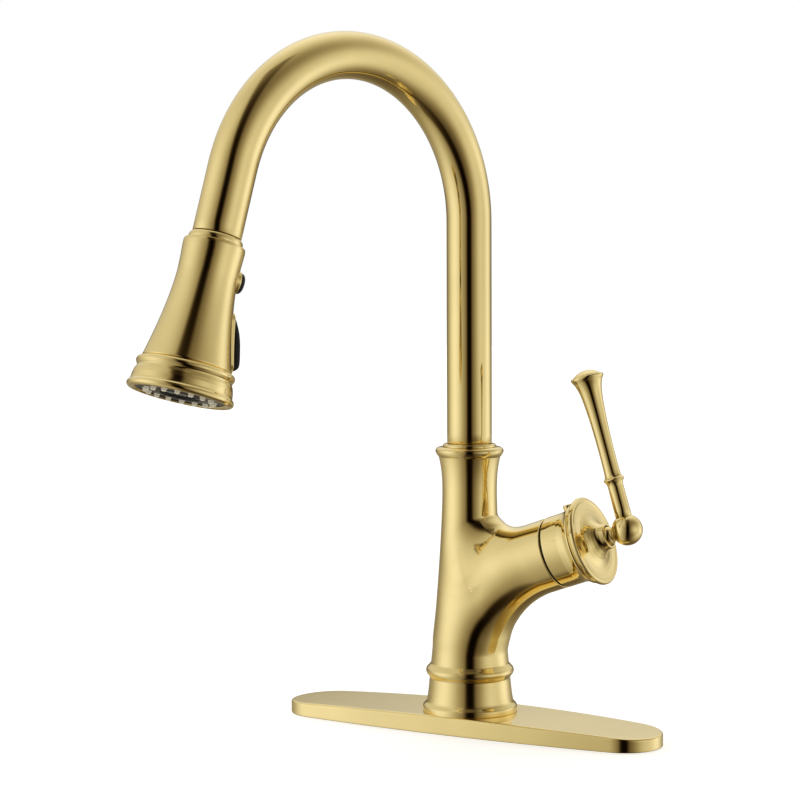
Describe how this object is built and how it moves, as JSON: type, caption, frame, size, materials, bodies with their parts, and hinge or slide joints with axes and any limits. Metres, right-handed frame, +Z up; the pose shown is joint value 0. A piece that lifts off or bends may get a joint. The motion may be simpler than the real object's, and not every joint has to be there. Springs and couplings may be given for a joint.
{
  "type": "pull-down kitchen faucet",
  "caption": "Kitchen faucet with a high arched spout, a pull-down spray head with pause button and mode rocker, a side lever valve and a deck plate, in satin gold.",
  "frame": {"origin": "on the body's vertical axis, at the top of the deck, which is the underside of the deck plate", "axes": "+Z up along the body axis, +X towards the handle along the deck plate's length, -Y towards the user and the sink"},
  "size_m": [0.254, 0.2722, 0.523],
  "materials": {
    "satin_gold": "brushed satin gold",
    "plain_brass": "machined",
    "bright_steel": "machined",
    "foam_rubber": "foam",
    "black_rubber": "matte",
    "bearing_plastic": "satin",
    "dark_plastic": "satin",
    "black_plastic": "semi-gloss",
    "red_plastic": "satin",
    "blue_plastic": "satin",
    "nozzle_rubber": "matte",
    "braided_hose": "braided",
    "ceramic": "polished",
    "magnet": "plated"
  },
  "bodies": {
    "base": {"deck_plate": "satin_gold", "plate_gasket": "foam_rubber", "base_seal": "black_rubber", "body_casting": "satin_gold", "neck_ring": "satin_gold", "upper_bush": "bearing_plastic", "lower_bush": "bearing_plastic", "mounting_shank": "plain_brass", "rubber_washer": "black_rubber", "steel_washer": "bright_steel", "shank_nut": "plain_brass", "nut_screws": "bright_steel", "hot_tube": "red_plastic", "cold_tube": "blue_plastic", "mixed_tube": "bearing_plastic", "tube_spacer": "dark_plastic", "supply_nipples": "plain_brass", "outlet_nipple": "bright_steel", "cartridge_seal": "black_rubber", "cartridge_body": "bearing_plastic", "fixed_disc": "ceramic", "cartridge_nut": "plain_brass", "hub_bush": "bearing_plastic"},
    "spout": {"spout_tube": "satin_gold", "spout_stem": "plain_brass", "stem_orings": "black_rubber", "stem_clip": "bright_steel", "dock_insert": "dark_plastic", "dock_magnet": "magnet", "spray_hose": "braided_hose", "hose_coupler": "dark_plastic"},
    "hose_end": {"hose_connector": "plain_brass", "hose_reach": "braided_hose"},
    "spray_head": {"head_collar": "satin_gold", "head_magnet": "magnet", "head_shell": "satin_gold", "face_ring": "satin_gold", "spray_core": "bearing_plastic", "spray_face": "black_plastic", "spray_nozzles": "nozzle_rubber", "aerator_housing": "black_plastic", "aerator_screen": "bright_steel", "button_bezel": "satin_gold", "rocker_bezel": "satin_gold", "rocker_pin": "bright_steel"},
    "button": {"pause_button": "black_plastic", "button_spring": "bright_steel"},
    "rocker": {"mode_rocker": "black_plastic"},
    "hub": {"handle_hub": "satin_gold", "hub_plug": "satin_gold", "hub_yoke": "plain_brass", "stem_carrier": "dark_plastic", "stem_pin": "bright_steel", "pivot_pin": "bright_steel"},
    "disc": {"moving_disc": "ceramic"},
    "stem": {"cartridge_stem": "bright_steel"},
    "lever": {"lever_ball": "satin_gold", "lever_rod": "satin_gold", "lever_tip": "satin_gold"}
  },
  "joints": [
    {"name": "spout_swivel", "type": "hinge", "parent": "base", "child": "spout", "pos_m": [0, 0, 0.155], "axis": [0, 0, 1], "continuous": true},
    {"name": "head_pull", "type": "slide", "parent": "spout", "child": "hose_end", "axis": [-0.0835, -0.2819, -0.9558], "range_m": [0, 0.2], "stiffness_N_per_m": 5, "springref_m": -1.3, "deforming": ["hose_reach"]},
    {"name": "head_swivel", "type": "hinge", "parent": "hose_end", "child": "spray_head", "pos_m": [-0.05642, -0.19046, 0.29736], "axis": [-0.0835, -0.2819, -0.9558], "continuous": true},
    {"name": "button_press", "type": "slide", "parent": "spray_head", "child": "button", "axis": [-0.583, -0.764, 0.2763], "range_m": [0, 0.002], "stiffness_N_per_m": 400, "springref_m": -0.002, "deforming": ["button_spring"]},
    {"name": "rocker_tilt", "type": "hinge", "parent": "spray_head", "child": "rocker", "pos_m": [-0.04956, -0.19018, 0.24395], "axis": [0.8082, -0.5803, 0.1006], "range_deg": [-5, 5]},
    {"name": "handle_temperature", "type": "hinge", "parent": "base", "child": "hub", "pos_m": [0.05649, 0, 0.11133], "axis": [0.9415, 0, 0.3371], "range_deg": [-45, 45]},
    {"name": "handle_flow", "type": "hinge", "parent": "hub", "child": "lever", "pos_m": [0.09273, 0, 0.1243], "axis": [0, 1, 0], "range_deg": [0, 25]},
    {"name": "stem_tilt", "type": "hinge", "parent": "hub", "child": "stem", "pos_m": [0.05461, 0, 0.11065], "axis": [0, 1, 0], "range_deg": [-8.2, 0]},
    {"name": "disc_slide", "type": "slide", "parent": "hub", "child": "disc", "axis": [0.3371, 0, -0.9415], "range_m": [0, 0.003]}
  ],
  "couplings": [
    {"joint": "stem_tilt", "follows": "handle_flow", "ratio": -0.315},
    {"joint": "disc_slide", "follows": "handle_flow", "m_per_rad": 0.00644}
  ]
}
